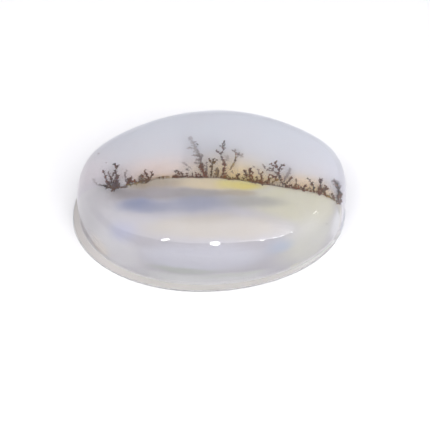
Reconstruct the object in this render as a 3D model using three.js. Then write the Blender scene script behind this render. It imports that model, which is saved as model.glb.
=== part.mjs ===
// A dendritic agate cabochon: one polished oval of milky chalcedony, flat underneath and domed on top.
// The stone is a single piece. Its little brown trees and its pale ground are colour inside it, so they
// have no relief here. Millimetres, +Z up, +X along the length, origin under the middle of the flat base.

import * as THREE from "three";

// The plan outline: an oval with three gentle swells, and two soft corners that the hand grinding left.
const halfLength = 13.75;
const halfWidth = 10.05;
const swells = [
  { count: 2, share: 0.022, toward: 30 },
  { count: 3, share: 0.007, toward: -30 },
  { count: 4, share: 0.003, toward: 0 },
];
const corners = [
  { out: 0.31, toward: 162, spread: 14 },
  { out: 0.46, toward: 19, spread: 14 },
];

// The foot: a low rim left around the base, wider at the left and the front than at the right.
const footEdgeHeight = 0.2;
const footHeight = 0.42;

// The dome: steep polished sides, a rounded shoulder and a gently crowned top.
const stoneHeight = 7;
const domeShare = 0.975;
const domeShift = { x: 0.27, y: 0.27 };
const sideFullness = 5.4;
const topFullness = 3.2;

// How finely the solid is divided.
const segmentsAround = 120;
const domeRows = 22;

// The turn between two directions in degrees, from -180 to 180.
function turnBetween(degrees, toward) {
  return THREE.MathUtils.euclideanModulo(degrees - toward + 180, 360) - 180;
}

// Distance from the middle of the base to its outline, in the direction of an angle.
function outlineRadius(angle) {
  const degrees = THREE.MathUtils.radToDeg(angle);
  const across = Math.hypot(halfWidth * Math.cos(angle), halfLength * Math.sin(angle));
  let radius = (halfLength * halfWidth) / across;
  for (const { count, share, toward } of swells) {
    const swing = count * (angle - THREE.MathUtils.degToRad(toward));
    radius *= 1 + share * Math.cos(swing);
  }
  for (const { out, toward, spread } of corners) {
    const away = turnBetween(degrees, toward) / spread;
    radius += out * Math.exp(-away * away);
  }
  return radius;
}

// The half section from the middle of the base to the top: x is a share of the outline, y is a height.
function halfSection() {
  const rise = stoneHeight - footHeight;
  const points = [
    new THREE.Vector2(0, 0),
    new THREE.Vector2(1, 0),
    new THREE.Vector2(1, footEdgeHeight),
    new THREE.Vector2(domeShare, footHeight),
  ];
  for (let row = 1; row < domeRows; row += 1) {
    const t = (row / domeRows) * (Math.PI / 2);
    const share = domeShare * Math.cos(t) ** (2 / topFullness);
    const height = footHeight + rise * Math.sin(t) ** (2 / sideFullness);
    points.push(new THREE.Vector2(share, height));
  }
  points.push(new THREE.Vector2(0, stoneHeight));
  return points;
}

// Turns the section into a round stone, then draws every ring out to the plan outline.
function stoneGeometry() {
  const geometry = new THREE.LatheGeometry(halfSection(), segmentsAround);
  geometry.rotateX(Math.PI / 2);
  const place = geometry.attributes.position;
  const middleOfLedge = (footEdgeHeight + footHeight) / 2;
  const noShift = { x: 0, y: 0 };
  for (let i = 0; i < place.count; i += 1) {
    const x = place.getX(i);
    const y = place.getY(i);
    const z = place.getZ(i);
    const radius = outlineRadius(Math.atan2(y, x));
    const shift = z > middleOfLedge ? domeShift : noShift;
    place.setXYZ(i, x * radius + shift.x, y * radius + shift.y, z);
  }
  geometry.computeBoundingBox();
  const middle = geometry.boundingBox.getCenter(new THREE.Vector3());
  geometry.translate(-middle.x, -middle.y, 0);
  geometry.computeVertexNormals();
  return geometry;
}

const agate = new THREE.MeshStandardMaterial({ color: 0xcfcfd6, roughness: 0.08, metalness: 0 });

const stone = new THREE.Mesh(stoneGeometry(), agate);
stone.name = "agate_stone";

const group = new THREE.Group();
group.add(stone);

export default group;
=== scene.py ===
import math
import random

import bmesh
import bpy
from mathutils import Matrix, Vector, kdtree, noise


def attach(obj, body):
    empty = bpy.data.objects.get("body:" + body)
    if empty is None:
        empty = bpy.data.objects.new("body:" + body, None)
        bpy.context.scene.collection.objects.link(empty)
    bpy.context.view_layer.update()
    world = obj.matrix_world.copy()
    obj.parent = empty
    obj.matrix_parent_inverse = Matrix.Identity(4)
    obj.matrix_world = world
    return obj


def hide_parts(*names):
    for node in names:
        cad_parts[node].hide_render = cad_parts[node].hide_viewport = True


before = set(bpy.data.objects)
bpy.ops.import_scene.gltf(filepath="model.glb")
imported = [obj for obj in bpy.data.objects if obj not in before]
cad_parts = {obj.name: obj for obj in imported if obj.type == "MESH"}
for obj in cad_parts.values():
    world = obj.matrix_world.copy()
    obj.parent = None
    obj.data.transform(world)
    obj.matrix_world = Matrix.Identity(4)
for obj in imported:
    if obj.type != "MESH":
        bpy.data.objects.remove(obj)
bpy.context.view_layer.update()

mm = 0.001  # every piece is made in millimetres and scaled to metres at its end
scene = bpy.context.scene
random.seed(11)


# small helpers

def lerp(a, b, t):
    return a + (b - a) * t


def smoothStep(t):
    t = min(max(t, 0), 1)
    return t * t * (3 - 2 * t)


def tone(red, green, blue):
    # a colour as a screen shows it, from 0 to 255, made linear for the nodes
    def linear(v):
        v /= 255
        return v / 12.92 if v <= 0.04045 else ((v + 0.055) / 1.055) ** 2.4
    return (linear(red), linear(green), linear(blue), 1)


def newObject(name, data):
    piece = bpy.data.objects.new(name, data)
    scene.collection.objects.link(piece)
    return piece


def meshFrom(bm, name):
    mesh = bpy.data.meshes.new(name)
    bm.to_mesh(mesh)
    bm.free()
    return mesh


def bakeModifiers(piece):
    # the piece's mesh with its modifiers applied; the object itself goes
    graph = bpy.context.evaluated_depsgraph_get()
    mesh = bpy.data.meshes.new_from_object(piece.evaluated_get(graph))
    bpy.data.objects.remove(piece)
    return mesh


def toMetres(mesh):
    mesh.transform(Matrix.Scale(mm, 4))
    mesh.shade_smooth()
    return mesh


def spinProfile(points, steps):
    # a profile of distances and heights, spun round the upright axis
    bm = bmesh.new()
    verts = [bm.verts.new((x, 0, z)) for x, z in points]
    edges = [bm.edges.new(pair) for pair in zip(verts, verts[1:])]
    bmesh.ops.spin(bm, geom=verts + edges, cent=(0, 0, 0), axis=(0, 0, 1), angle=2 * math.pi,
                   steps=steps, use_merge=True)
    bmesh.ops.remove_doubles(bm, verts=bm.verts, dist=1e-5)
    return bm


# camera: looks down on the stone from the front

view = {"lens": 100, "sensor": 36, "elevation": 52, "distance": 119.2,
        "target": (0.58, -2.75, 3.0), "clip": (5, 5000)}


def makeCamera():
    camera = newObject("camera", bpy.data.cameras.new("camera"))
    scene.camera = camera
    camera.data.lens = view["lens"]
    camera.data.sensor_width = view["sensor"]
    camera.data.clip_start, camera.data.clip_end = (far * mm for far in view["clip"])
    slant = math.radians(view["elevation"])
    back = Vector((0, -math.cos(slant), math.sin(slant)))
    camera.location = (Vector(view["target"]) + back * view["distance"]) * mm
    camera.rotation_euler = (-back).to_track_quat("-Z", "Y").to_euler()


makeCamera()
print("camera placed")


# the stone's form, shared by the polished stone and the pale layer inside it

stone = {
    "halfLength": 13.75, "halfWidth": 10.05, "height": 7.0,
    "swells": [(2, 0.022, 30), (3, 0.007, -30), (4, 0.003, 0)],  # count, share, direction
    "corners": [(0.31, 162, 14), (0.46, 19, 14)],  # out, direction, spread
    "edge": 0.2, "foot": 0.42, "domeShare": 0.975, "domeShift": (0.27, 0.27),
    "side": 5.4, "top": 3.2,  # fullness of the dome's curve
    "steps": 288, "rows": 84, "rounding": 0.07, "crease": 0.03,
    "rimFrom": 0.8, "rimTurn": 0.2,  # which edges run round the foot
}


def outlineRadius(angle):
    a, b = stone["halfLength"], stone["halfWidth"]
    radius = a * b / math.hypot(b * math.cos(angle), a * math.sin(angle))
    for count, share, toward in stone["swells"]:
        radius *= 1 + share * math.cos(count * (angle - math.radians(toward)))
    for out, toward, spread in stone["corners"]:
        turn = (math.degrees(angle) - toward + 180) % 360 - 180
        radius += out * math.exp(-(turn / spread) ** 2)
    return radius


def outlineMiddle():
    # the outline isn't even, so its box is centred on the origin afterwards
    count = 1440
    angles = [2 * math.pi * k / count for k in range(count)]
    xs = [outlineRadius(a) * math.cos(a) for a in angles]
    ys = [outlineRadius(a) * math.sin(a) for a in angles]
    return Vector(((max(xs) + min(xs)) / 2, (max(ys) + min(ys)) / 2, 0))


middle = outlineMiddle()
domeMove = Vector((*stone["domeShift"], 0)) - middle


def topHeight(x, y):
    # height of the polished dome over a place
    flat = Vector((x, y, 0)) - domeMove
    share = flat.length / outlineRadius(math.atan2(flat.y, flat.x)) / stone["domeShare"]
    rise = stone["height"] - stone["foot"]
    return stone["foot"] + rise * max(1 - share ** stone["top"], 0) ** (1 / stone["side"])


def makeForm(inset=0, footInset=0):
    # a half section spun round, then every ring pushed out to the freeform outline
    rise = stone["height"] - stone["foot"]
    points = [(0, 0), (0.5, 0), (1, 0), (1, stone["edge"]), (stone["domeShare"], stone["foot"])]
    for row in range(1, stone["rows"]):
        t = row / stone["rows"] * math.pi / 2
        points.append((stone["domeShare"] * math.cos(t) ** (2 / stone["top"]),
                       stone["foot"] + rise * math.sin(t) ** (2 / stone["side"])))
    points.append((0, stone["height"]))
    bm = spinProfile(points, stone["steps"])
    ledge = (stone["edge"] + stone["foot"]) / 2
    for vert in bm.verts:
        x, y, z = vert.co
        cover = lerp(footInset, inset, smoothStep(z / stone["height"]))
        radius = outlineRadius(math.atan2(y, x)) - cover
        move = domeMove if z > ledge else -middle
        height = lerp(footInset, stone["height"] - inset, z / stone["height"])
        vert.co = Vector((x * radius, y * radius, height)) + move
    bmesh.ops.recalc_face_normals(bm, faces=bm.faces)
    return bm


# the horizon: the line on which the dendrites stand

horizon = {
    "points": [(-15, -1.9), (-12.6, -1.65), (-10.4, -1.65), (-8.4, -2.0), (-6.5, -1.65), (-4.7, -1.25),
               (-2, -1.15), (0.5, -1.2), (2.5, -1.45), (4.5, -1.78), (5.6, -2.0), (8, -2.28), (10.5, -2.48),
               (12.6, -2.55), (15, -2.7)],
    "ripples": [(0.05, 0.9, 3), (0.025, 0.225, 8)],  # height, size and a place of its own in the noise
}


def horizonAt(x):
    points = horizon["points"]
    for (x0, y0), (x1, y1) in zip(points, points[1:]):
        if x <= x1:
            break
    return lerp(y0, y1, smoothStep((x - x0) / (x1 - x0)))


def markHorizon(mesh):
    # how far each point lies behind the horizon, in mm, for the materials
    distances = mesh.attributes.new("behind", "FLOAT", "POINT")
    for point, value in zip(mesh.vertices, distances.data):
        value.value = point.co.y - horizonAt(point.co.x)


# the polished stone

def roundRing(bm, height, rounding):
    # rounds the corner that runs round the foot at one height
    ring = []
    for edge in bm.edges:
        level = all(abs(vert.co.z - height) < 1e-4 for vert in edge.verts)
        out = min((vert.co + middle).to_2d().length for vert in edge.verts)
        if level and out > stone["halfWidth"] * stone["rimFrom"] and len(edge.link_faces) == 2:
            if edge.link_faces[0].normal.angle(edge.link_faces[1].normal) > stone["rimTurn"]:
                ring.append(edge)
    bmesh.ops.bevel(bm, geom=ring, offset=rounding, offset_type="OFFSET", segments=3, profile=0.5,
                    affect="EDGES", material=-1)


def makeStone():
    bm = makeForm()
    roundRing(bm, 0, stone["rounding"])
    roundRing(bm, stone["edge"], stone["rounding"])
    roundRing(bm, stone["foot"], stone["crease"])
    mesh = meshFrom(bm, "polished_stone")
    markHorizon(mesh)
    piece = newObject("polished_stone", toMetres(mesh))
    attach(piece, "root")
    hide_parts("agate_stone")
    return piece


polishedStone = makeStone()
print("polished stone:", len(polishedStone.data.polygons), "faces")


# the pale layer: the opaque ground in front of the horizon, just under the polish

layer = {
    "cover": 0.13, "footCover": 0.06, "steps": 420, "reach": 15, "depth": 14, "lip": 0.02,
    "fade": 0.17, "fadeTo": (-6.5, -3.5, 2),  # its left end draws back, deeper into the stone
    "fadeFrom": -7.5, "fadeOver": 6, "fadeRise": 3.6,
    "slopeDrop": 1.6, "slopeBack": 3.6,  # behind the horizon its back slopes down in the milk
    "bendDrop": 0.22, "bendBack": 0.42,  # the share of both at the slope's bend
    "endBack": 1.2, "endFrom": 9, "endOver": 3,  # and further back at both ends
    "lowestEdge": 1, "lowestSlope": 0.5,
}


def makeCutter():
    # all that lies in front of the horizon, and below a slope behind it
    drop, lowest = layer["slopeDrop"], layer["lowestSlope"]
    levels = [[] for _ in range(5)]
    for k in range(layer["steps"] + 1):
        x = lerp(-layer["reach"], layer["reach"], k / layer["steps"])
        y = horizonAt(x) + sum(high * noise.noise(Vector((x / size, place, 0)))
                               for high, size, place in horizon["ripples"])
        nearEnd = smoothStep((abs(x) - layer["endFrom"]) / layer["endOver"])
        back = layer["slopeBack"] + layer["endBack"] * nearEnd
        edge = max(topHeight(x, y) - layer["cover"] - layer["lip"], layer["lowestEdge"])
        bend = (back * layer["bendBack"], max(edge - drop * layer["bendDrop"], lowest))
        section = [(back, -1), (back, max(edge - drop, lowest)), bend, (0, edge), (0, stone["height"] + 1)]
        for level, (away, height) in zip(levels, section):
            level.append((x, y + away, height))
    bm = bmesh.new()
    line = [bm.verts.new(place) for place in levels[0]]
    edges = [bm.edges.new(pair) for pair in zip(line, line[1:])]
    for level in levels[1:]:
        strip = bmesh.ops.extrude_edge_only(bm, edges=edges)
        edges = [g for g in strip["geom"] if isinstance(g, bmesh.types.BMEdge) and g.is_boundary]
        line = [g for g in strip["geom"] if isinstance(g, bmesh.types.BMVert)]
        for vert, place in zip(sorted(line, key=lambda v: v.co.x), level):
            vert.co = place
        edges = [edge for edge in edges if all(vert in line for vert in edge.verts)]
    front = bmesh.ops.extrude_face_region(bm, geom=bm.faces[:])
    for vert in front["geom"]:
        if isinstance(vert, bmesh.types.BMVert):
            vert.co.y = -layer["depth"]
    bmesh.ops.recalc_face_normals(bm, faces=bm.faces)
    return newObject("cutter", meshFrom(bm, "cutter"))


def makePaleLayer():
    bm = makeForm(layer["cover"], layer["footCover"])
    for vert in bm.verts:
        share = smoothStep((layer["fadeFrom"] - vert.co.x) / layer["fadeOver"]) * layer["fade"]
        share *= smoothStep((vert.co.z - stone["foot"]) / layer["fadeRise"])
        vert.co = vert.co.lerp(Vector(layer["fadeTo"]), share)
    form = newObject("pale_layer", meshFrom(bm, "form"))
    cutter = makeCutter()
    cut = form.modifiers.new("cut", "BOOLEAN")
    cut.operation = "INTERSECT"
    cut.solver = "EXACT"
    cut.object = cutter
    mesh = bakeModifiers(form)
    bpy.data.objects.remove(cutter)
    markHorizon(mesh)
    piece = newObject("pale_layer", toMetres(mesh))
    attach(piece, "root")
    return piece


paleLayer = makePaleLayer()
print("pale layer:", len(paleLayer.data.polygons), "faces")


# the dendrites: each tree is a few strokes, drawn as seen from the front and laid under the polish

growth = {
    "step": (0.098, 0.1325),  # mm on the stone for one step across and one step up in a stroke
    "slide": 0.781,  # how far a point slides back for each mm that the dome falls
    "bend": 1 / 1.54,  # how sight bends where it enters the stone
    "stride": 0.2, "halvings": 16,  # how finely the seen place is looked for
    "depths": (0, 0.4),  # mm under the polish for a depth of 0 and of 1 in the strokes
    "cover": 0.025,  # the least stone over any growth
    "spacing": 0.09, "jitter": 0.025, "thinnest": 0.018, "voxel": 0.027,
    "stem": 0.54, "unevenWidth": 0.4,  # a stem's share of its stroke's width; the sprigs fill the rest
    "mottle": (0.55, 1.4),  # how dark and how pale a stroke is along its way
    "grainEnds": 0.7,
}

# short side shoots: how many on each mm of stroke, and how each one grows
sprig = {
    "count": 16, "reach": (0.7, 1.6), "leastReach": 0.02, "turn": (0.4, 1.4), "width": (0.025, 0.046),
    "tip": 1.1, "bud": 1.6, "budReach": 1.5, "budTurn": 0.8,
    "depth": 0.12, "leastDepth": 0.1,  # how far its tip may lie above or below its stem
    "strangers": 0.35, "strangeStains": ("rust", "olive", "umber"),  # some have another plant's stain
    "shade": (0.6, 1.5),  # how dark and how pale single sprigs are
}

stains = {
    "plum": tone(86, 60, 60), "umber": tone(88, 48, 14), "rust": tone(112, 56, 16), "olive": tone(94, 68, 4),
    "soot": tone(40, 22, 10), "grey": tone(124, 106, 102), "moss": tone(134, 110, 34),
}

# a tree's place in mm, then strokes: stain, width at both ends, depth at both ends, and the points in steps
leftTrees = {
    "bush": ((-9.23, -2.49), [
        ("plum", 0.11, 0.08, 0.14, 0.3,
         [(1, 0), (1.5, 4), (1.5, 11), (0.2, 14.5), (0, 18), (0.5, 20), (-1, 23)]),
        ("soot", 0.1, 0.12, 0.25, 0.3, [(-1.6, 22), (-1.1, 24)]),
        ("plum", 0.08, 0.09, 0.25, 0.4, [(0.4, 19.8), (1.2, 21), (2.3, 22.4)]),
        ("plum", 0.07, 0.05, 0.2, 0.3, [(1.5, 8), (2.6, 11), (2.9, 13.5)]),
        ("plum", 0.09, 0.06, 0.15, 0.3, [(-3, 4), (-4, 7.5), (-5, 9), (-3, 11), (-2, 14), (-0.5, 17)]),
        ("grey", 0.06, 0.1, 0.3, 0.6, [(-5, 9), (-6, 12), (-8, 15.5)]),
        ("plum", 0.1, 0.08, 0.14, 0.4,
         [(-4, 2), (-8, 4.5), (-9.5, 7), (-9.5, 9.5), (-11.5, 13.5), (-13, 17)]),
        ("plum", 0.07, 0.07, 0.2, 0.2, [(-9.5, 7), (-7, 5.5), (-5, 4)]),
        ("soot", 0.12, 0.06, 0.14, 0.2, [(3, 1), (-5, 0), (-10, 2), (-14, 2.7)]),
        ("soot", 0.1, 0.07, 0.14, 0.2, [(-3, 1), (-8, -0.5), (-10, -1.5)]),
        ("umber", 0.12, 0.09, 0.15, 0.2, [(1, -1), (-4, -3)]),
        ("plum", 0.17, 0.13, 0.16, 0.3, [(-2, -1), (-1, 3), (-2, 7)]),
        ("plum", 0.17, 0.12, 0.16, 0.3, [(1, -1), (2, 3), (3, 7)]),
        ("plum", 0.14, 0.12, 0.3, 0.4, [(-1, 1), (0.5, 6)]),
        ("umber", 0.1, 0.06, 0.2, 0.3, [(3, 0), (4.2, 4.5)]),
        ("umber", 0.14, 0.11, 0.3, 0.5, [(3, 1), (8, 0.5), (13, 1.5)]),
        ("grey", 0.06, 0.1, 0.8, 2.2, [(-13, 2), (-19, 3.5), (-22.5, 6.5), (-24, 9)]),
    ]),
    "twoLobes": ((-7.86, -2.1), [
        ("rust", 0.16, 0.13, 0.16, 0.25, [(-1, 1), (-1, 5.5)]),
        ("umber", 0.16, 0.09, 0.16, 0.25, [(0, 1), (1, 6), (3, 7.8)]),
        ("rust", 0.12, 0.14, 0.16, 0.25, [(3, 2), (5, 3.5), (6, 5)]),
        ("rust", 0.1, 0.1, 0.2, 0.25, [(6.5, 1.5), (6.3, 4.5)]),
        ("moss", 0.12, 0.12, 0.3, 0.4, [(-3, -0.5), (2, 0), (9, 1)]),
        ("grey", 0.05, 0.08, 0.4, 1.1, [(-2, 3), (-4, 7), (-4, 11), (-3, 14)]),
        ("grey", 0.05, 0.05, 0.9, 0.9, [(-4, 10.5), (-5.5, 12)]),
    ]),
    "olive": ((-6.29, -1.96), [
        ("olive", 0.12, 0.12, 0.16, 0.25, [(-3, 0), (-1, 5)]),
        ("olive", 0.16, 0.15, 0.16, 0.25, [(1, 0), (1.5, 4)]),
        ("umber", 0.15, 0.13, 0.16, 0.25, [(3, 1), (3.5, 5)]),
        ("olive", 0.1, 0.1, 0.18, 0.2, [(-2, 2), (5, 3)]),
        ("umber", 0.09, 0.08, 0.16, 0.22, [(3, 5), (1, 8.5), (-0.5, 11), (0, 13.5)]),
        ("umber", 0.08, 0.06, 0.18, 0.3, [(5, 5), (6.3, 8), (6.3, 11.5)]),
        ("umber", 0.05, 0.09, 0.2, 0.3, [(6.5, 7), (8.8, 9.5)]),
        ("olive", 0.08, 0.06, 0.2, 0.4, [(-5, 1), (-5.5, 4.5), (-5, 8)]),
        ("olive", 0.07, 0.08, 0.2, 0.4, [(-3, 3), (-2.5, 8.5)]),
        ("moss", 0.09, 0.07, 0.4, 0.6, [(5, 2), (8, 2.5), (12, -1)]),
        ("moss", 0.12, 0.1, 0.3, 0.4, [(-9, 0), (-5, 1), (0, 0)]),
    ]),
    "beads": ((-4.33, -1.17), [
        ("umber", 0.1, 0.1, 0.15, 0.15, [(-5.4, 0), (-4.6, 0)]),
        ("umber", 0.11, 0.11, 0.15, 0.15, [(-2, 0), (-1, 0)]),
        ("moss", 0.04, 0.04, 0.4, 0.5, [(-9, -0.5), (-3, 0.2), (5, 0.5)]),
        ("moss", 0.06, 0.06, 0.9, 0.9, [(5, -3), (8, -3)]),
    ]),
    "shrubs": ((-3.06, -1.04), [
        ("umber", 0.09, 0.1, 0.15, 0.15, [(-5, 0.5), (0, 0.5)]),
        ("soot", 0.1, 0.1, 0.15, 0.2, [(-4, 5), (-2, 5.3), (-0.3, 5)]),
        ("umber", 0.06, 0.06, 0.18, 0.15, [(0, 5), (1, 3), (1, 1)]),
        ("umber", 0.1, 0.07, 0.15, 0.15, [(2, 3.5), (4, 3.3), (5, 0.8)]),
        ("umber", 0.08, 0.07, 0.15, 0.15, [(8.3, 3.2), (10, 0)]),
        ("umber", 0.07, 0.07, 0.15, 0.15, [(14, 3.3), (14.5, 0)]),
        ("rust", 0.07, 0.07, 0.15, 0.15, [(17.5, 3.8), (19, 1), (20, 0)]),
        ("umber", 0.06, 0.08, 0.14, 0.14, [(-6, -0.5), (5, -0.7), (15, -0.8), (30, -0.6)]),
        ("grey", 0.06, 0.06, 0.6, 0.7, [(7, 8), (11, 5)]),
        ("grey", 0.08, 0.06, 1.2, 1, [(5, 13.5), (10, 10), (13, 7)]),
    ]),
}

middleTrees = {
    "fern": ((-0.51, -1.04), [
        ("rust", 0.2, 0.17, 0.14, 0.25, [(0.5, 0), (-0.5, 4), (-1.5, 7), (-3.5, 10)]),
        ("umber", 0.17, 0.14, 0.2, 0.35, [(-5, 8), (-4, 10.5), (-2.5, 11.5)]),
        ("umber", 0.15, 0.13, 0.2, 0.35, [(-3.5, 10), (-1, 12)]),
        ("grey", 0.07, 0.05, 0.3, 0.8, [(1, 0), (2, 5), (2.5, 11), (3, 14)]),
        ("rust", 0.07, 0.05, 0.2, 0.3, [(3, 0), (1.8, 5)]),
        ("rust", 0.07, 0.06, 0.2, 0.3, [(-3, 0), (-6, 2.5)]),
        ("plum", 0.13, 0.12, 0.4, 0.9, [(-3, 11), (-3.5, 16), (-4.5, 19), (-6, 22.5)]),
        ("grey", 0.12, 0.14, 0.9, 1.7,
         [(-6, 22.5), (-8, 26), (-9.5, 28.5), (-11, 32), (-13, 35.5), (-15, 38)]),
        ("grey", 0.13, 0.13, 1.7, 1.8, [(-16.5, 38.5), (-15, 37.5), (-12.5, 38.7)]),
        ("grey", 0.14, 0.09, 0.8, 1, [(-4, 12.5), (-10, 12.7)]),
        ("grey", 0.15, 0.08, 0.8, 1.1, [(-4, 16), (-8.5, 16.7)]),
        ("grey", 0.13, 0.09, 0.8, 1.2, [(-5.5, 20), (-11, 20.4), (-13, 20)]),
        ("grey", 0.11, 0.12, 0.7, 0.9, [(-3, 19), (-1, 20.8)]),
        ("grey", 0.09, 0.1, 1.1, 1.2, [(-7.5, 24), (-5.5, 24.8)]),
        ("grey", 0.09, 0.08, 1.1, 1.2, [(-9, 24.5), (-11, 24.7)]),
        ("grey", 0.1, 0.16, 1.2, 1.4, [(-10, 27.7), (-16, 28)]),
        ("soot", 0.08, 0.09, 0.7, 0.7, [(-7.4, 31.3), (-6.2, 31.8)]),
        ("grey", 0.13, 0.1, 1.4, 1.5, [(-11.5, 32.5), (-9.5, 34.5)]),
    ]),
    "lollipop": ((0.27, -1.1), [
        ("olive", 0.06, 0.06, 0.14, 0.2, [(0, 0), (0, 8.5), (1, 12), (1.5, 14)]),
        ("olive", 0.1, 0.08, 0.15, 0.15, [(-0.5, 8.5), (0.6, 8.8)]),
        ("olive", 0.06, 0.05, 0.15, 0.15, [(0, 9.5), (-3, 10.3)]),
        ("soot", 0.1, 0.1, 0.14, 0.14, [(-3.8, 17.4), (-2.8, 16.7)]),
        ("olive", 0.06, 0.07, 0.14, 0.15, [(-3, 16.8), (-1.2, 15), (1, 12)]),
        ("soot", 0.11, 0.1, 0.14, 0.14, [(0.8, 17), (2.2, 16.3)]),
        ("soot", 0.09, 0.09, 0.14, 0.14, [(3.8, 16.5), (4.3, 15.6)]),
        ("olive", 0.09, 0.09, 0.14, 0.14, [(2.6, 14.2), (3.6, 13.8)]),
        ("olive", 0.06, 0.06, 0.15, 0.15, [(1.2, 13), (3.8, 15.6)]),
        ("olive", 0.06, 0.06, 0.15, 0.15, [(1, 13.5), (1.6, 16.5)]),
    ]),
    "brush": ((0.81, -1.17), [
        ("olive", 0.1, 0.12, 0.3, 0.5, [(0, 0), (0, 6), (-1.5, 8.5)]),
        ("olive", 0.08, 0.07, 0.3, 0.5, [(0, 5), (1, 9)]),
        ("moss", 0.09, 0.08, 0.4, 0.6, [(-1, 2), (-2, 7)]),
    ]),
    "forked": ((1.16, -1.3), [
        ("rust", 0.1, 0.12, 0.14, 0.35, [(0, 0), (1.5, 4), (3, 7.5), (4, 12), (3.5, 15.5)]),
        ("plum", 0.12, 0.11, 0.3, 0.4, [(4.5, 12), (5, 14.5)]),
        ("plum", 0.08, 0.06, 0.4, 0.5, [(3.5, 15.5), (2, 18), (0.5, 21), (-0.5, 23.5)]),
        ("plum", 0.06, 0.06, 0.5, 0.6, [(-0.5, 23.5), (-3, 26), (-4.5, 28)]),
        ("plum", 0.07, 0.08, 0.5, 0.6, [(-0.5, 23.5), (1, 25.5), (2.5, 27.5), (2, 30), (1.5, 32), (2.5, 34)]),
        ("soot", 0.08, 0.11, 0.5, 0.5, [(2.5, 34), (4, 36)]),
        ("plum", 0.07, 0.07, 0.6, 0.6, [(1.5, 31.5), (-1, 31.5)]),
        ("plum", 0.06, 0.06, 0.5, 0.7, [(2, 29.3), (5.5, 29.3)]),
        ("soot", 0.05, 0.06, 0.5, 0.6, [(2.5, 31.5), (5, 32.7)]),
        ("grey", 0.1, 0.16, 1.4, 2, [(3.5, 15), (6.5, 19), (7.5, 22)]),
        ("moss", 0.05, 0.05, 0.6, 0.6, [(3.3, 16), (0, 18)]),
        ("rust", 0.08, 0.06, 0.16, 0.25, [(3, 0), (4.5, 4), (6, 5.5)]),
    ]),
    "thin": ((2.04, -0.24), [
        ("moss", 0.05, 0.06, 0.5, 0.6, [(0, 0), (2, 2.5), (4, 5.5), (5.5, 9), (6.5, 11), (6, 14), (5.5, 17)]),
        ("soot", 0.08, 0.08, 0.25, 0.25, [(4.9, 9), (5.8, 9.5)]),
        ("grey", 0.06, 0.07, 0.6, 0.6, [(4.2, 18.5), (2.5, 20)]),
        ("grey", 0.06, 0.06, 0.6, 0.6, [(5.5, 17), (5, 19), (6.2, 20.8)]),
        ("grey", 0.05, 0.05, 0.7, 0.8, [(6.5, 11), (8, 13), (7.5, 15), (9.5, 17.5)]),
        ("soot", 0.07, 0.07, 0.3, 0.3, [(9.2, 14.2), (9.8, 15)]),
        ("grey", 0.05, 0.05, 1, 1.2, [(10, 17.5), (11, 14), (14, 16)]),
        ("grey", 0.1, 0.1, 1.6, 1.6, [(10, 12.5), (14, 13.5)]),
        ("moss", 0.08, 0.08, 0.8, 0.8, [(0.5, -2), (3, -2)]),
    ]),
    "hook": ((2.04, -1.37), [
        ("olive", 0.07, 0.08, 0.15, 0.15, [(-6, 0.3), (0, -0.3), (9, 0)]),
        ("umber", 0.11, 0.08, 0.15, 0.2, [(7.5, 0.5), (8, 3.5), (9.8, 5.2)]),
        ("olive", 0.06, 0.05, 0.2, 0.2, [(-4, 0), (-3, 3), (-1, 2)]),
        ("olive", 0.08, 0.06, 0.15, 0.2, [(13.5, -1), (12.7, 2)]),
    ]),
    "pair": ((3.9, -1.43), [
        ("olive", 0.13, 0.15, 0.15, 0.15, [(-2, 0), (3, -1)]),
        ("umber", 0.08, 0.06, 0.18, 0.3, [(-2.5, 1), (-3.5, 6), (-5, 9.5)]),
        ("grey", 0.05, 0.05, 0.3, 0.4, [(-3.6, 7), (-2, 9)]),
        ("umber", 0.09, 0.07, 0.18, 0.2, [(1, 1), (1, 7), (1.5, 10.5)]),
        ("soot", 0.08, 0.09, 0.18, 0.18, [(1, 7.5), (1.7, 8.4)]),
        ("soot", 0.09, 0.09, 0.2, 0.2, [(1.3, 10.3), (2.1, 11)]),
        ("rust", 0.09, 0.07, 0.16, 0.25, [(4, 0), (3, 4), (4, 7)]),
    ]),
    "thicket": ((4.98, -1.96), [
        ("umber", 0.12, 0.14, 0.15, 0.15, [(-9, 4), (-7, 2), (-3, 1), (3, -1)]),
        ("rust", 0.12, 0.08, 0.16, 0.3, [(1.5, 0), (1.5, 6), (0.5, 9.5)]),
        ("olive", 0.05, 0.09, 0.25, 0.3, [(1, 9), (3.7, 10.6)]),
        ("grey", 0.07, 0.06, 1.2, 1.1, [(-7.5, 17.5), (-5, 15)]),
        ("grey", 0.06, 0.12, 0.7, 1.1, [(-1, 9), (-1.5, 13.7)]),
        ("rust", 0.07, 0.06, 0.2, 0.3, [(-2.5, 2), (-3, 6.5)]),
        ("umber", 0.11, 0.1, 0.16, 0.2, [(7, 0), (8, 3), (8.6, 5)]),
    ]),
}

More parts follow.
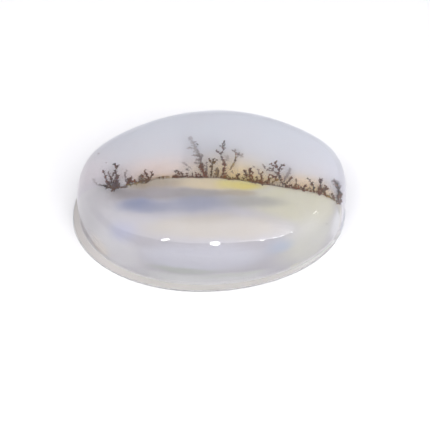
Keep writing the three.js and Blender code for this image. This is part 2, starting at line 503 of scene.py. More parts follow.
rightTrees = {
    "fan": ((7.23, -2.1), [
        ("plum", 0.09, 0.08, 0.15, 0.3,
         [(0.5, 0), (-2, 3.5), (-3.5, 6.5), (-3.5, 12), (-4, 14.5), (-5.5, 17)]),
        ("plum", 0.09, 0.09, 0.25, 0.3, [(-5.5, 17), (-6.5, 20), (-7, 22.5)]),
        ("umber", 0.1, 0.07, 0.2, 0.3, [(-5.5, 16.5), (-8, 18), (-10.5, 19), (-11.5, 20.5)]),
        ("plum", 0.05, 0.05, 0.3, 0.3, [(-7, 21.5), (-5.4, 23.5)]),
        ("plum", 0.06, 0.06, 0.3, 0.4, [(-8.5, 16.5), (-10, 15.3), (-13, 16.5)]),
        ("grey", 0.07, 0.05, 0.25, 0.8,
         [(-5, 8), (-7, 11.5), (-10, 14), (-13, 13.2), (-16.5, 15), (-18.5, 17.5), (-19.5, 20)]),
        ("rust", 0.08, 0.09, 0.2, 0.2, [(-15, 7.5), (-12, 9.5), (-8, 7.5), (-6, 6)]),
        ("moss", 0.05, 0.05, 0.3, 0.3, [(-14.5, 7), (-12, 5.5), (-10, 7)]),
        ("moss", 0.06, 0.05, 0.18, 0.2, [(-11.5, 1), (-8, 3.5), (-5, 5.5)]),
        ("plum", 0.06, 0.09, 0.3, 0.3, [(-3.5, 14.5), (-0.5, 18), (2, 19.5)]),
        ("grey", 0.05, 0.05, 0.5, 0.5, [(-1, 15.6), (0.6, 14.6)]),
        ("grey", 0.06, 0.14, 0.25, 1.5, [(0, 2), (3, 6.5), (6, 10.5), (7.5, 14), (8, 16.5)]),
        ("grey", 0.1, 0.08, 1.4, 1.6, [(7, 14.5), (9.5, 15)]),
        ("olive", 0.08, 0.08, 0.16, 0.2, [(4.5, 1), (5, 3.5), (7.5, 4.5), (9.5, 7.5)]),
        ("olive", 0.1, 0.04, 0.16, 0.2, [(13, -2), (13.5, 2), (13.5, 5.5)]),
        ("umber", 0.13, 0.12, 0.15, 0.15, [(1, 1), (5, -2)]),
        ("rust", 0.13, 0.11, 0.15, 0.15, [(6, 0), (12, -4)]),
        ("rust", 0.09, 0.08, 0.16, 0.16, [(12.5, -4.5), (16, -2.5), (16, 0.5)]),
        ("rust", 0.07, 0.06, 0.3, 0.3, [(17.5, -1), (19, -4)]),
        ("umber", 0.1, 0.09, 0.15, 0.18, [(19.5, -6), (21, -2.5), (22.5, 0)]),
        ("moss", 0.05, 0.06, 0.4, 0.6, [(24, -6), (25.5, -4.2), (28, -3)]),
    ]),
    "sickle": ((10.27, -3.09), [
        ("soot", 0.1, 0.05, 0.14, 0.2, [(0, 0), (0, 2.5), (-1, 6.5), (-3, 10.5), (-6.5, 14.5)]),
        ("umber", 0.08, 0.12, 0.15, 0.2, [(4, 0), (5, 4), (5.4, 5.4)]),
    ]),
    "crown": ((10.96, -3.29), [
        ("plum", 0.14, 0.11, 0.15, 0.25, [(0, 0), (0.3, 5), (0, 11)]),
        ("plum", 0.09, 0.08, 0.25, 0.25, [(0, 11.5), (-2, 13.5)]),
        ("plum", 0.12, 0.12, 0.2, 0.2, [(0, 11.5), (0, 14.7)]),
        ("plum", 0.07, 0.07, 0.25, 0.25, [(0, 12), (2, 14.8)]),
        ("umber", 0.08, 0.06, 0.18, 0.2, [(-2, -1), (-2, 5)]),
    ]),
    "stout": ((11.25, -3.35), [
        ("umber", 0.19, 0.15, 0.15, 0.2, [(0, 0), (1, 4), (3, 6.5), (3.5, 8.5)]),
        ("umber", 0.13, 0.11, 0.2, 0.2, [(2.5, 5.5), (5, 6)]),
    ]),
    "sprouts": ((12.13, -3.55), [
        ("olive", 0.09, 0.08, 0.15, 0.2, [(-1, 1), (0, 3)]),
        ("umber", 0.09, 0.08, 0.15, 0.2, [(1, -2), (2, 1)]),
        ("moss", 0.07, 0.06, 0.14, 0.14, [(-8, 0.5), (-3, -0.5), (3, -4), (6, -7)]),
    ]),
    "edge": ((12.9, -4.6), [
        ("umber", 0.19, 0.17, 0.14, 0.14, [(-0.5, 1), (-1.7, 7), (-0.5, 10.5)]),
        ("umber", 0.19, 0.17, 0.14, 0.14, [(0.2, 0), (1, 7), (0.9, 10.5)]),
        ("soot", 0.3, 0.26, 0.14, 0.16, [(-1.2, 12), (1.4, 12.3)]),
        ("soot", 0.22, 0.24, 0.15, 0.4, [(-0.3, 12.5), (-1.2, 17), (-2.5, 20)]),
        ("grey", 0.2, 0.16, 0.5, 0.7, [(-2.5, 20), (-4, 22.5), (-6, 23.7)]),
        ("grey", 0.1, 0.08, 0.8, 0.9, [(-2, 20), (-0.8, 23)]),
    ]),
}

# low growth that edges the horizon
fringe = {
    "sunk": 0.04, "lean": 0.12, "width": (0.025, 0.06), "gaps": (0.5, 1.5),
    "groundWidth": (0.015, 0.045), "groundDepth": 0.15,
    "shoot": [(0, 0, 1.2, 0.15), (0.4, 0.6, 1, 0.17), (1, 1, 0.8, 0.2)],  # lean, rise, width, depth
    "stretches": [  # from and to in mm, how close, how tall, and the stain
        (-3.6, -0.9, 0.24, (0.1, 0.35), "umber"),
        (-0.8, 1.2, 0.2, (0.12, 0.55), "umber"),
        (1.3, 3.9, 0.24, (0.1, 0.4), "olive"),
        (4.0, 6.4, 0.18, (0.2, 0.7), "umber"),
        (6.4, 9.4, 0.2, (0.12, 0.5), "umber"),
        (9.5, 12.4, 0.22, (0.1, 0.45), "rust"),
    ],
}

# single grains in the clear part: place in mm, width, depth and stain
grains = [
    (-11.2, 2, 0.14, 1.9, "grey"), (-10.3, 0.75, 0.1, 1.4, "grey"), (-8.6, -0.1, 0.06, 0.9, "grey"),
    (11.54, -7, 0.05, 0.15, "soot"), (-2.5, 0.2, 0.05, 0.8, "grey"), (6.6, 0, 0.05, 0.8, "plum"),
    (9, -0.4, 0.05, 0.7, "grey"), (-5, -0.3, 0.05, 0.6, "grey"),
]


def under(x, y, depth):
    # the place in the stone that is seen at (x, y) on the level of the top, at a depth under the polish
    def tooNear(seen):
        return seen - (stone["height"] - topHeight(x, seen)) * growth["slide"] < y

    high = y + growth["stride"]
    while tooNear(high) and high < y + stone["height"]:
        high += growth["stride"]
    low = high - growth["stride"]
    for _ in range(growth["halvings"]):
        seen = (low + high) / 2
        if tooNear(seen):
            low = seen
        else:
            high = seen
    small = 0.02
    top = topHeight(x, seen)
    normal = Vector((top - topHeight(x + small, seen), top - topHeight(x, seen + small), small)).normalized()
    slant = math.radians(view["elevation"])
    sight = Vector((0, math.cos(slant), -math.sin(slant))) * growth["bend"]
    facing = -sight.dot(normal)
    inward = sight + normal * (facing - math.sqrt(1 - growth["bend"] ** 2 + facing ** 2))
    return Vector((x, seen, top)) + inward * (depth / -inward.dot(normal))


def addSpline(curve, seeds, samples, stain, shade=1):
    # samples are (x, y, width, depth); a spline with a radius at each point
    spline = curve.splines.new("POLY")
    spline.points.add(len(samples) - 1)
    for point, (x, y, width, depth) in zip(spline.points, samples):
        radius = max(width, growth["thinnest"])
        place = under(x, y, max(lerp(*growth["depths"], depth), radius + growth["cover"]))
        point.co = (*place, 1)
        point.radius = radius
        seeds.append((place, stain, shade * random.uniform(*growth["mottle"])))


def addStroke(curve, seeds, place, stain, width, endWidth, depth, endDepth, steps):
    across, up = growth["step"]
    spots = [Vector((place[0] + px * across, place[1] + py * up)) for px, py in steps]
    total = sum((b - a).length for a, b in zip(spots, spots[1:]))
    samples, done = [], 0
    for a, b in zip(spots, spots[1:]):
        count = max(1, round((b - a).length / growth["spacing"]))
        for k in range(count + 1 if b is spots[-1] else count):
            spot = a.lerp(b, k / count)
            t = (done + (b - a).length * k / count) / total
            uneven = 1 + growth["unevenWidth"] * random.uniform(-1, 1)
            wide = lerp(width, endWidth, t) * growth["stem"] * uneven
            spot += Vector((random.uniform(-1, 1), random.uniform(-1, 1))) * growth["jitter"]
            samples.append((spot.x, spot.y, wide, lerp(depth, endDepth, t)))
        done += (b - a).length
    addSpline(curve, seeds, samples, stain)
    for _ in range(round(total * sprig["count"])):
        addSprig(curve, seeds, samples, stain)


def addSprig(curve, seeds, samples, stain):
    # a side shoot with a bud at its tip, in a shade of its own
    index = random.randrange(len(samples) - 1)
    (x, y, wide, deep), ahead = samples[index], samples[index + 1]
    heading = math.atan2(ahead[1] - y, ahead[0] - x)
    turn = heading + random.choice((-1, 1)) * random.uniform(*sprig["turn"])
    reach = wide / growth["stem"] * random.uniform(*sprig["reach"]) + sprig["leastReach"]
    thin = random.uniform(*sprig["width"])
    tipX, tipY = x + math.cos(turn) * reach, y + math.sin(turn) * reach
    tipDepth = max(deep + random.uniform(-1, 1) * sprig["depth"], sprig["leastDepth"])
    bend = turn + random.uniform(-1, 1) * sprig["budTurn"]
    away = thin * sprig["budReach"]
    bud = (tipX + math.cos(bend) * away, tipY + math.sin(bend) * away)
    leaf = stain
    if stain != "grey" and random.random() < sprig["strangers"]:
        leaf = random.choice(sprig["strangeStains"])
    shoot = [(x, y, thin, deep), (tipX, tipY, thin * sprig["tip"], tipDepth),
             (*bud, thin * sprig["bud"], tipDepth)]
    addSpline(curve, seeds, shoot, leaf, random.uniform(*sprig["shade"]))


def addFringe(curve, seeds, start, end, gap, tall, stain):
    x = start
    ground = []
    while x < end:
        y = horizonAt(x)
        foot = y - fringe["sunk"] - (stone["height"] - topHeight(x, y)) * growth["slide"]
        lean = random.uniform(-1, 1) * fringe["lean"]
        rise = random.uniform(*tall)
        wide = random.uniform(*fringe["width"])
        shoot = [(x + lean * side, foot + rise * up, wide * share, deep)
                 for side, up, share, deep in fringe["shoot"]]
        addSpline(curve, seeds, shoot, stain)
        thick = random.uniform(*fringe["groundWidth"])
        ground.append((x, foot + fringe["sunk"] / 2, thick, fringe["groundDepth"]))
        x += gap * random.uniform(*fringe["gaps"])
    addSpline(curve, seeds, ground, stain)


def growPiece(name, trees, low, high):
    # all the splines of one stretch, fused by a fine voxel remesh and stained by the nearest stroke
    curve = bpy.data.curves.new(name, "CURVE")
    curve.dimensions = "3D"
    curve.bevel_depth = 1
    curve.bevel_resolution = 1
    curve.use_fill_caps = True
    seeds = []
    for place, strokes in trees.values():
        for stroke in strokes:
            addStroke(curve, seeds, place, *stroke)
    for stretch in fringe["stretches"]:
        if low <= stretch[0] < high:
            addFringe(curve, seeds, *stretch)
    for x, y, width, depth, stain in grains:
        if low <= x < high:
            end = width * growth["grainEnds"]
            samples = [(x + side * end, y, end if side else width, depth) for side in (-1, 0, 1)]
            addSpline(curve, seeds, samples, stain)
    tubes = bakeModifiers(newObject(name, curve))
    piece = newObject(name, tubes)
    remesh = piece.modifiers.new("fuse", "REMESH")
    remesh.mode = "VOXEL"
    remesh.voxel_size = growth["voxel"]
    mesh = bakeModifiers(piece)
    stainMesh(mesh, seeds)
    piece = newObject(name, toMetres(mesh))
    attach(piece, "root")
    print(name + ":", len(piece.data.polygons), "faces")
    return piece


def stainMesh(mesh, seeds):
    tree = kdtree.KDTree(len(seeds))
    for index, (place, _, _) in enumerate(seeds):
        tree.insert(place, index)
    tree.balance()
    paint = mesh.color_attributes.new("stain", "FLOAT_COLOR", "POINT")
    for point, value in zip(mesh.vertices, paint.data):
        _, stain, shade = seeds[tree.find(point.co)[1]]
        value.color = (*(min(part * shade, 1) for part in stains[stain][:3]), 1)


dendrites = [
    growPiece("dendrites_left", leftTrees, -14, -0.85),
    growPiece("dendrites_middle", middleTrees, -0.85, 6.4),
    growPiece("dendrites_right", rightTrees, 6.4, 14),
]
print("dendrites grown")


# node helpers

def addNode(tree, kind, **values):
    node = tree.nodes.new(kind)
    for key, value in values.items():
        setattr(node, key, value)
    return node


def feed(socket, value):
    # value is another node's socket or a plain one
    if isinstance(value, bpy.types.NodeSocket):
        socket.id_data.links.new(value, socket)
    else:
        socket.default_value = value


def setInputs(node, **values):
    for key, value in values.items():
        feed(node.inputs[key.replace("_", " ")], value)


def mixColour(tree, factor, first, second, blend="MIX"):
    node = addNode(tree, "ShaderNodeMix", data_type="RGBA", blend_type=blend)
    for index, value in ((0, factor), (6, first), (7, second)):
        feed(node.inputs[index], value)
    return node.outputs[2]


def mapRange(tree, value, low, high, start=0, end=1):
    node = addNode(tree, "ShaderNodeMapRange", interpolation_type="SMOOTHSTEP")
    setInputs(node, Value=value, From_Min=low, From_Max=high, To_Min=start, To_Max=end)
    return node.outputs["Result"]


def calculate(tree, operation, *values):
    node = addNode(tree, "ShaderNodeMath", operation=operation)
    for socket, value in zip(node.inputs, values):
        feed(socket, value)
    return node.outputs[0]


def vectorMath(tree, operation, first, second=(0, 0, 0)):
    # a scale has a socket of its own, and a length or a dot product comes out as a value
    node = addNode(tree, "ShaderNodeVectorMath", operation=operation)
    feed(node.inputs[0], first)
    feed(node.inputs["Scale" if operation == "SCALE" else 1], second)
    return node.outputs["Value" if operation in ("LENGTH", "DOT_PRODUCT") else "Vector"]


def objectAxis(tree, axis):
    # one object coordinate in mm
    apart = addNode(tree, "ShaderNodeSeparateXYZ")
    feed(apart.inputs[0], addNode(tree, "ShaderNodeTexCoord").outputs["Object"])
    return calculate(tree, "MULTIPLY", apart.outputs[axis], 1 / mm)


def newMaterial(name):
    material = bpy.data.materials.new(name)
    material.use_nodes = True
    return material, material.node_tree, material.node_tree.nodes["Principled BSDF"]


def newGroup(name, inputs, outputs):
    # the sockets' names and defaults; three numbers make a vector
    group = bpy.data.node_groups.new(name, "ShaderNodeTree")
    for way, sockets in (("INPUT", inputs), ("OUTPUT", outputs)):
        for label, default in sockets.items():
            kind = "NodeSocketVector" if isinstance(default, tuple) else "NodeSocketFloat"
            group.interface.new_socket(label, in_out=way, socket_type=kind).default_value = default
    return group, addNode(group, "NodeGroupInput").outputs, addNode(group, "NodeGroupOutput").inputs


def makePatchGroup():
    # a soft-edged blot: 1 at its middle, 0 outside its size
    nowhere = (0, 0, 0)
    group, given, result = newGroup("softPatch", {"Vector": nowhere, "Middle": nowhere, "Size": (1, 1, 1),
                                                  "Softness": 0.6}, {"Mask": 0})
    away = vectorMath(group, "SUBTRACT", given["Vector"], given["Middle"])
    length = vectorMath(group, "LENGTH", vectorMath(group, "DIVIDE", away, given["Size"]))
    start = calculate(group, "SUBTRACT", 1, given["Softness"])
    feed(result["Mask"], mapRange(group, length, start, 1, 1, 0))
    return group


def makeCloudGroup():
    # object coordinates in mm, pushed about by soft noise, and a plain grey cloud
    group, given, result = newGroup("cloudyPlaces", {"Cloud Size": 3, "Push": 0.8},
                                    {"Places": (0, 0, 0), "Cloud": 0})
    coordinates = addNode(group, "ShaderNodeTexCoord").outputs["Object"]
    plain = vectorMath(group, "SCALE", coordinates, 1 / mm)
    cloud = addNode(group, "ShaderNodeTexNoise")
    scale = calculate(group, "DIVIDE", 1, given["Cloud Size"])
    setInputs(cloud, Vector=plain, Scale=scale, Detail=3, Roughness=0.55)
    centred = vectorMath(group, "SUBTRACT", cloud.outputs["Color"], (0.5, 0.5, 0.5))
    pushed = vectorMath(group, "SCALE", centred, given["Push"])
    feed(result["Places"], vectorMath(group, "ADD", plain, pushed))
    feed(result["Cloud"], cloud.outputs["Fac"])
    return group


patchGroup = makePatchGroup()
cloudGroup = makeCloudGroup()


def addCloud(tree, size, push):
    node = addNode(tree, "ShaderNodeGroup", node_tree=cloudGroup)
    setInputs(node, Cloud_Size=size, Push=push)
    return node.outputs["Places"], node.outputs["Cloud"]


def layPatches(tree, colour, places, patches):
    # each patch is laid over what is under it: colour, middle and size in mm, softness, strength
    for tint, centre, size, softness, strength in patches.values():
        node = addNode(tree, "ShaderNodeGroup", node_tree=patchGroup)
        setInputs(node, Vector=places, Middle=centre, Size=size, Softness=softness)
        factor = calculate(tree, "MULTIPLY", node.outputs["Mask"], strength)
        colour = mixColour(tree, factor, colour, tone(*tint))
    return colour


def behindHorizon(tree):
    return addNode(tree, "ShaderNodeAttribute", attribute_name="behind").outputs["Fac"]


# the polished chalcedony; a range has its start and end, then the value at each where it isn't 0 and 1

agate = {
    "body": (241, 245, 253), "frontBody": (254, 254, 255), "frontEdge": (-0.12, 0.1),
    "cloudSize": 4.5, "cloudPush": 1, "cloudTint": (243, 241, 248), "cloudRange": (0.35, 0.7, 0, 0.3),
    "transmission": 0.965, "ior": 1.54, "polish": (0.3, 0.7, 0.018, 0.045), "sawnFoot": (0.42, 0.8, 0.35, 0),
    "milk": 1500, "milkColour": (0.9956, 0.9963, 0.9991, 1),
    "hazes": {  # warm stains just above the horizon
        "pearl": ((250, 245, 248), (-12.5, 0.5, 5), (5.5, 5, 4), 0.9, 0.8),
        "rose": ((247, 239, 240), (-5, -0.2, 7), (6, 3, 2), 1, 0.85),
        "straw": ((255, 244, 230), (1.8, -0.4, 7), (5.4, 3.6, 2), 1, 0.9),
        "amber": ((255, 240, 214), (2.8, -1.4, 7), (5.6, 2.2, 2), 1, 0.9),
        "honey": ((255, 243, 226), (8.2, -2, 6.4), (5, 2, 2.4), 1, 0.9),
        "feet": ((255, 238, 182), (3.4, -1.5, 7), (5, 1, 2), 1, 0.9),
        "feetLeft": ((255, 238, 214), (-4.4, -1.2, 7), (4.4, 1, 2), 1, 0.9),
        "feetRight": ((255, 240, 206), (10.4, -2.5, 6), (4, 1.1, 2), 1, 0.9),
    },
}


def makeAgateMaterial():
    material, tree, surface = newMaterial("milky_chalcedony")
    places, cloud = addCloud(tree, agate["cloudSize"], agate["cloudPush"])
    clouds = mapRange(tree, cloud, *agate["cloudRange"])
    body = mixColour(tree, clouds, tone(*agate["body"]), tone(*agate["cloudTint"]))
    hazy = layPatches(tree, body, places, agate["hazes"])
    behind = mapRange(tree, behindHorizon(tree), *agate["frontEdge"])
    colour = mixColour(tree, behind, tone(*agate["frontBody"]), hazy)
    polish = mapRange(tree, cloud, *agate["polish"])
    foot = mapRange(tree, objectAxis(tree, "Z"), *agate["sawnFoot"])
    setInputs(surface, Base_Color=colour, Roughness=calculate(tree, "ADD", polish, foot), IOR=agate["ior"],
              Transmission_Weight=agate["transmission"])
    milk = addNode(tree, "ShaderNodeVolumeScatter")
    setInputs(milk, Color=agate["milkColour"], Density=agate["milk"])
    tree.links.new(milk.outputs["Volume"], tree.nodes["Material Output"].inputs["Volume"])
    return material


# the pale layer's colours, as soft blots over a grey-lavender body, with painted light on its shaded walls
# and a few painted glow and reflection blots

pale = {
    "body": (206, 203, 208), "roughness": 0.65,
    "cloudSize": 2.6, "cloudPush": 0.9, "cloudTint": (222, 220, 224), "cloudRange": (0.3, 0.75, 0, 0.25),
    "rimTint": (226, 214, 184), "rim": (-0.4, -0.12, 0, 0.4), "rimStarts": (-7, -2),
    "ledgeTint": (193, 189, 186),  # at the left, then what follows it to the right
    "ledgeTints": [((180, 177, 173), -11, -5), ((190, 189, 186), 7, 10), ((236, 236, 235), 12, 13.2)],
    # the near-white tint is painted light: it brightens the shaded wall over the ledge and the foot's lowest
    # wall
    "ledge": (0.43, 0.464, 1, 0), "paintedLightTint": (252, 251, 250),
    "overLedge": (0.46, 1, 0.85, 0), "underLedge": (0.16, 0.22, 1, 0),
    "slopeTint": (250, 245, 246), "slope": (0, 0.7),
    "slopePatches": {
        "rose": ((248, 236, 224), (-4.8, 0, 6), (7, 3.8, 3), 0.8, 0.9),
        "amber": ((255, 243, 204), (2.4, -0.6, 6), (6.6, 3.6, 3), 0.8, 0.9),
        "honey": ((253, 236, 206), (9.2, -1.6, 5.5), (4.8, 2.8, 3), 0.8, 0.9),
    },
    "patches": {
        "leftEnd": ((205, 199, 204), (-13, -2, 4.5), (4.8, 6, 4.5), 0.7, 0.95),
        "bushShade": ((130, 114, 114), (-8.9, -2.7, 6.3), (2.4, 0.9, 1.4), 0.8, 0.6),
        "leftFront": ((240, 238, 240), (-9.4, -7, 2.8), (5, 3.4, 3.2), 0.6, 0.9),
        "rightField": ((222, 219, 196), (8.4, -3.7, 5.9), (6.6, 2.8, 3), 0.5, 0.95),
        "rightLow": ((230, 229, 219), (10.6, -6.8, 3.4), (5.6, 4, 4), 0.6, 0.9),
        "creamField": ((229, 214, 180), (0.2, -1.75, 6.8), (5.6, 1.3, 2), 0.5, 0.95),
        "oliveCream": ((176, 156, 120), (-5.4, -1.75, 6.7), (4, 1.2, 2), 0.7, 0.95),
        "mauveBand": ((162, 153, 154), (-5.6, -3, 6.8), (9.6, 1, 1.6), 0.7, 0.9),
        "mauveMiddle": ((174, 169, 165), (-0.7, -3.2, 6.9), (4, 0.8, 1), 0.7, 0.85),
        "taupe": ((182, 168, 140), (2.8, -3, 6.9), (2.8, 0.6, 1), 0.7, 0.8),
        "greyRight": ((180, 178, 172), (3.8, -4, 6.8), (5.2, 1, 1.6), 0.7, 0.9),
        "bluePool": ((149, 157, 188), (-7, -4.2, 6.5), (3.3, 1.2, 1.4), 0.8, 0.95),
        "blueMiddle": ((168, 171, 188), (-1.2, -4, 6.8), (4.6, 0.9, 1.2), 0.8, 0.9),
        "blueStreak": ((164, 168, 189), (-2.8, -4.6, 6.7), (6.8, 1, 1.4), 0.8, 0.85),
        # partly the layer's own pinkish grey, partly a painted reflection: the warm tint of the soft box's
        # reflection is painted in here
        "pinkFieldAndPaintedReflection": ((212, 205, 195), (0.9, -6.7, 6.3), (9.4, 1.6, 1.6), 0.5, 0.9),
        "yellow": ((228, 214, 106), (3.1, -1.95, 6.9), (3.3, 0.9, 1), 0.6, 0.95),
        "frontField": ((221, 221, 229), (-1, -9, 4.2), (9.4, 2, 2), 0.5, 0.9),
        # painted reflection: a purple tone where the soft box's reflection ends at the left
        "paintedReflectionCorner": ((190, 184, 204), (-11.2, -4.7, 4.9), (1.3, 0.9, 0.8), 0.7, 0.6),
        "blueLeft": ((199, 202, 226), (-8.8, -6.5, 5.1), (3.4, 1.5, 1.5), 0.9, 0.8),
        "blueRight": ((198, 208, 224), (7, -7.9, 4.5), (2.4, 1.8, 1.2), 0.9, 0.8),
        "lowField": ((230, 230, 229), (-0.5, -9.4, 1.2), (10, 2, 1.3), 0.5, 0.9),
        "greenBand": ((202, 205, 199), (-3, -9.5, 2.65), (5.4, 1.5, 0.6), 0.6, 0.9),
        "greenEnd": ((218, 220, 214), (2.8, -9.3, 1.75), (5.2, 1.5, 0.5), 0.6, 0.85),
        # painted light: a near-white blot lightens the left foot's wall where it falls in shade
        "paintedLightLeftFoot": ((250, 240, 226), (-10.8, -5.4, 1.8), (2.2, 1.6, 1.6), 0.6, 0.7),
        # painted light: a near-white glow whitens the right end of the stone as if lit from the right
        "paintedRimGlow": ((252, 252, 252), (13.2, -4, 2.4), (1.5, 3.4, 3), 0.6, 0.95),
        "greenLine": ((150, 152, 128), (12.9, -2.9, 3.9), (0.5, 0.45, 1), 0.6, 0.45),
        "speck": ((120, 100, 90), (11.54, -4.65, 4.47), (0.12, 0.12, 0.14), 0.5, 0.8),
        "yellowSpot": ((228, 226, 190), (8.6, -7.3, 0.7), (0.9, 0.8, 0.6), 0.8, 0.7),
    },
}


def makePaleMaterial():
    material, tree, surface = newMaterial("pale_ground")
    places, cloud = addCloud(tree, pale["cloudSize"], pale["cloudPush"])
    behind, along, up = behindHorizon(tree), objectAxis(tree, "X"), objectAxis(tree, "Z")
    colour = layPatches(tree, tone(*pale["body"]), places, pale["patches"])
    rim = calculate(tree, "MULTIPLY", mapRange(tree, behind, *pale["rim"]),
                    mapRange(tree, along, *pale["rimStarts"]))
    colour = mixColour(tree, rim, colour, tone(*pale["rimTint"]))
    colour = mixColour(tree, mapRange(tree, cloud, *pale["cloudRange"]), colour, tone(*pale["cloudTint"]))
    slope = layPatches(tree, tone(*pale["slopeTint"]), places, pale["slopePatches"])
    colour = mixColour(tree, mapRange(tree, behind, *pale["slope"]), colour, slope)
    ledge, edge = tone(*pale["ledgeTint"]), tone(*pale["paintedLightTint"])
    for tint, start, end in pale["ledgeTints"]:
        ledge = mixColour(tree, mapRange(tree, along, start, end), ledge, tone(*tint))
    # over and under the ledge the walls get painted light; the ledge between them gets its own tint
    for zone, tint in (("overLedge", edge), ("ledge", ledge), ("underLedge", edge)):
        colour = mixColour(tree, mapRange(tree, up, *pale[zone]), colour, tint)
    setInputs(surface, Base_Color=colour, Roughness=pale["roughness"], Specular_IOR_Level=0)
    return material


# the dendrites' brown oxides

oxide = {"roughness": 0.8, "lighter": (1.9, 1.7, 1.4, 1),
         "grainSize": 0.22, "grainRange": (0.35, 0.7, 0, 0.35)}


def makeOxideMaterial():
    material, tree, surface = newMaterial("brown_oxide")
    stain = addNode(tree, "ShaderNodeAttribute", attribute_name="stain").outputs["Color"]
    _, grain = addCloud(tree, oxide["grainSize"], 0)
    lighter = mixColour(tree, 1, stain, oxide["lighter"], "MULTIPLY")
    colour = mixColour(tree, mapRange(tree, grain, *oxide["grainRange"]), stain, lighter)
    setInputs(surface, Base_Color=colour, Roughness=oxide["roughness"], Specular_IOR_Level=0)
    return material


polishedStone.data.materials.append(makeAgateMaterial())
paleLayer.data.materials.append(makePaleMaterial())
brownOxide = makeOxideMaterial()
for piece in dendrites:
    piece.data.materials.append(brownOxide)
print("materials made")


# floor, light and air

studio = {
    "floorRadius": 420, "floorRings": (30, 120), "bowlRadius": 700, "bowlHeight": 50, "floorDrop": 0.02,
    "bowlSteps": 12, "floorSteps": 96, "paper": (0.75, 0.75, 0.75, 1), "paperRoughness": 0.7,
    "air": (0.89, 0.89, 0.97, 1), "airStrength": (0.38, 1.36), "airSpread": (-0.4, 0.9),
    "airToward": (0.85, 0.27, -0.5),
    # the soft box lies level; its front edge and its back edge both slant forward at the right
    "boxLow": (-483, -470), "boxHigh": (430, 125), "boxLevel": 300, "boxStrength": 2.36,
    "boxColour": (1, 0.99, 0.99), "boxSides": (0.6, 1.5),
    "boxFront": (-240, 29, 0.57), "boxBack": (121, 40, 1), "crisp": 10, "soft": 110,
    "glowDeep": 70, "glow": 0.85, "glowFrom": (30, 110),  # the front edge is brighter at the right
    "lampLevel": 299, "lampTarget": (0, -6, 6),
    "lamps": [((-122, -208), (17, 76), 20), ((29, -258), (30, 104), 20), ((228, -354), (15, 58), 30),
              ((330, -400), (15, 54), 24), ((380, -384), (14, 50), 24), ((436, -350), (12, 42), 24),
              ((370, -26), (44, 20), 5), ((470, -56), (34, 20), 5)],  # place, size and strength
}


def makeStage():
    inner, outer, high = studio["floorRadius"], studio["bowlRadius"], studio["bowlHeight"]
    points = [(0, 0), *((ring, 0) for ring in studio["floorRings"]), (inner, 0)]
    for k in range(1, studio["bowlSteps"] + 1):
        turn = k / studio["bowlSteps"] * math.pi / 2
        points.append((inner + (outer - inner) * math.sin(turn), high / 2 * (1 - math.cos(turn))))
    points.append((outer, high))
    bm = spinProfile([(x, z - studio["floorDrop"]) for x, z in points], studio["floorSteps"])
    bmesh.ops.recalc_face_normals(bm, faces=bm.faces)
    if sum(face.normal.z for face in bm.faces) < 0:
        bmesh.ops.reverse_faces(bm, faces=bm.faces)
    floor = newObject("floor", toMetres(meshFrom(bm, "floor")))
    material, _, surface = newMaterial("white_paper")
    setInputs(surface, Base_Color=studio["paper"], Roughness=studio["paperRoughness"])
    floor.data.materials.append(material)


def makeAir():
    scene.world = bpy.data.worlds.new("air")
    scene.world.use_nodes = True
    tree = scene.world.node_tree
    direction = addNode(tree, "ShaderNodeTexCoord").outputs["Generated"]
    along = vectorMath(tree, "DOT_PRODUCT", direction, Vector(studio["airToward"]).normalized())
    glow = mapRange(tree, along, *studio["airSpread"], *studio["airStrength"])
    setInputs(tree.nodes["Background"], Color=studio["air"], Strength=glow)


def addLight(name, at, size, strength, shape, colour=(1, 1, 1), target=None):
    # strength is the light's own brightness, so a larger light gives more; with no target it shines down
    light = bpy.data.lights.new(name, "AREA")
    light.shape = shape
    light.size = size[0] * mm
    light.size_y = size[1] * mm
    light.energy = strength * math.pi * size[0] * size[1] * mm * mm
    light.color = colour
    lamp = newObject(name, light)
    lamp.location = Vector(at) * mm
    if target:
        lamp.rotation_euler = (Vector(at) - Vector(target)).to_track_quat("Z", "Y").to_euler()
    return light


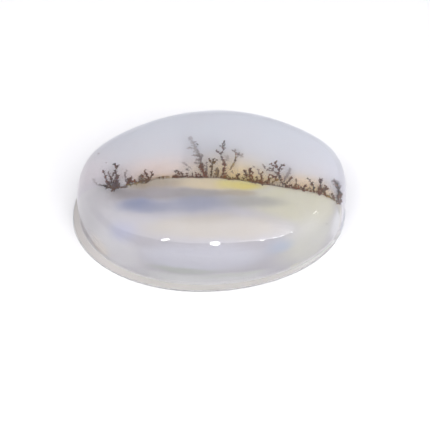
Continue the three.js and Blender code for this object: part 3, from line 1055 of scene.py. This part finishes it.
def makeLights():
    low, high = Vector(studio["boxLow"]), Vector(studio["boxHigh"])
    centre = (low + high) / 2
    light = addLight("soft_box", (*centre, studio["boxLevel"]), high - low, studio["boxStrength"],
                     "RECTANGLE", studio["boxColour"])
    shapeBox(light, low, high)
    for index, (place, size, strength) in enumerate(studio["lamps"]):
        addLight(f"small_lamp_{index}", (*place, studio["lampLevel"]), size, strength, "ELLIPSE",
                 target=studio["lampTarget"])


def slanted(tree, x, y, edge):
    # how far a place lies behind an edge that is level up to a bend and slants forward after it
    level, bend, slope = edge
    beyond = calculate(tree, "MAXIMUM", calculate(tree, "SUBTRACT", x, bend), 0)
    drop = calculate(tree, "MULTIPLY", beyond, slope)
    return calculate(tree, "ADD", calculate(tree, "SUBTRACT", y, level), drop)


def shapeBox(light, low, high):
    # the box's outline and its brightness, over its own length and depth in mm
    light.use_nodes = True
    tree = light.node_tree
    apart = addNode(tree, "ShaderNodeSeparateXYZ")
    feed(apart.inputs[0], addNode(tree, "ShaderNodeNewGeometry").outputs["Parametric"])
    x, y = (calculate(tree, "MULTIPLY_ADD", apart.outputs[axis], end - start, start)
            for axis, start, end in zip("XY", low, high))
    behindFront = slanted(tree, x, y, studio["boxFront"])
    front = mapRange(tree, behindFront, 0, studio["crisp"])
    back = mapRange(tree, slanted(tree, x, y, studio["boxBack"]), -studio["soft"], 0, 1, 0)
    sides = mapRange(tree, x, low.x, high.x, *studio["boxSides"])
    near = calculate(tree, "MULTIPLY", mapRange(tree, behindFront, 0, studio["glowDeep"], studio["glow"], 0),
                     mapRange(tree, x, *studio["glowFrom"]))
    glow = calculate(tree, "MULTIPLY", sides, calculate(tree, "ADD", near, 1))
    total = calculate(tree, "MULTIPLY", calculate(tree, "MULTIPLY", front, back), glow)
    setInputs(tree.nodes["Emission"], Strength=total)


makeStage()
makeAir()
makeLights()
scene.view_settings.view_transform = "Standard"

# light goes on for many turns inside a milky stone
bounces = {"max": 160, "diffuse": 12, "glossy": 16, "transmission": 24, "volume": 128}
for kind, count in bounces.items():
    setattr(scene.cycles, kind + "_bounces", count)
print("stage and lights set")
